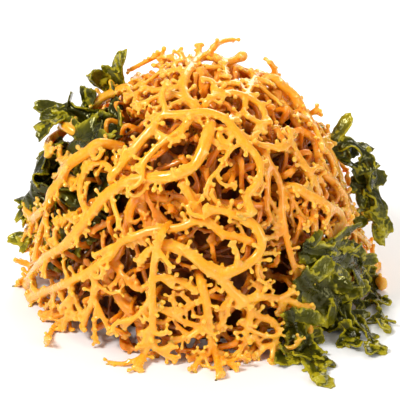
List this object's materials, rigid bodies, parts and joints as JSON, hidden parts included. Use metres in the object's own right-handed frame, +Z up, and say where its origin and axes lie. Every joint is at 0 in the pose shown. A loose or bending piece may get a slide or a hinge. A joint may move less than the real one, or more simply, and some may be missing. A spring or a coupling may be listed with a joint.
{
  "type": "sea moss heap",
  "caption": "Heap of soaked sea moss: gold branching fronds with knobbly tips, tangled together, with flat waved green fronds held among them.",
  "frame": {"origin": "centre of the heap's bounding box on the surface that it stands on", "axes": "+Z up; the front that the picture shows faces -Y; +X to the right as seen from the front"},
  "size_m": [0.2118, 0.2099, 0.1429],
  "materials": {
    "gold_frond": "wet, glossy and translucent, pale yellow at the tips and deep orange where strands crowd",
    "green_frond": "wet, glossy, thin blades, dark olive in the folds and yellow-green at the edges",
    "heart_tangle": "wet and glossy, deep orange-brown in the shade of the outer fronds"
  },
  "bodies": {
    "root": {"gold_frond_back_1": "gold_frond", "gold_frond_back_2": "gold_frond", "gold_frond_back_3": "gold_frond", "gold_frond_back_4": "gold_frond", "gold_frond_back_5": "gold_frond", "gold_frond_back_6": "gold_frond", "gold_frond_back_7": "gold_frond", "gold_frond_back_8": "gold_frond", "gold_frond_crown": "gold_frond", "gold_frond_crown_right": "gold_frond", "gold_frond_front_arch": "gold_frond", "gold_frond_inner_left": "gold_frond", "gold_frond_left_leg": "gold_frond", "gold_frond_left_runner": "gold_frond", "gold_frond_long_curve": "gold_frond", "gold_frond_right_hollow": "gold_frond", "gold_frond_right_leg": "gold_frond", "gold_frond_right_ring": "gold_frond", "gold_frond_right_runner": "gold_frond", "gold_frond_right_slope": "gold_frond", "gold_frond_shoulder": "gold_frond", "green_frond_back_1": "green_frond", "green_frond_back_2": "green_frond", "green_frond_back_3": "green_frond", "green_frond_back_4": "green_frond", "green_frond_left_apron": "green_frond", "green_frond_left_fan": "green_frond", "green_frond_left_fold": "green_frond", "green_frond_left_lobe": "green_frond", "green_frond_low_fan": "green_frond", "green_frond_low_front": "green_frond", "green_frond_low_right": "green_frond", "green_frond_right_strap": "green_frond", "green_frond_right_tail": "green_frond", "green_frond_upright": "green_frond", "heart_tangle": "heart_tangle"}
  },
  "joints": []
}
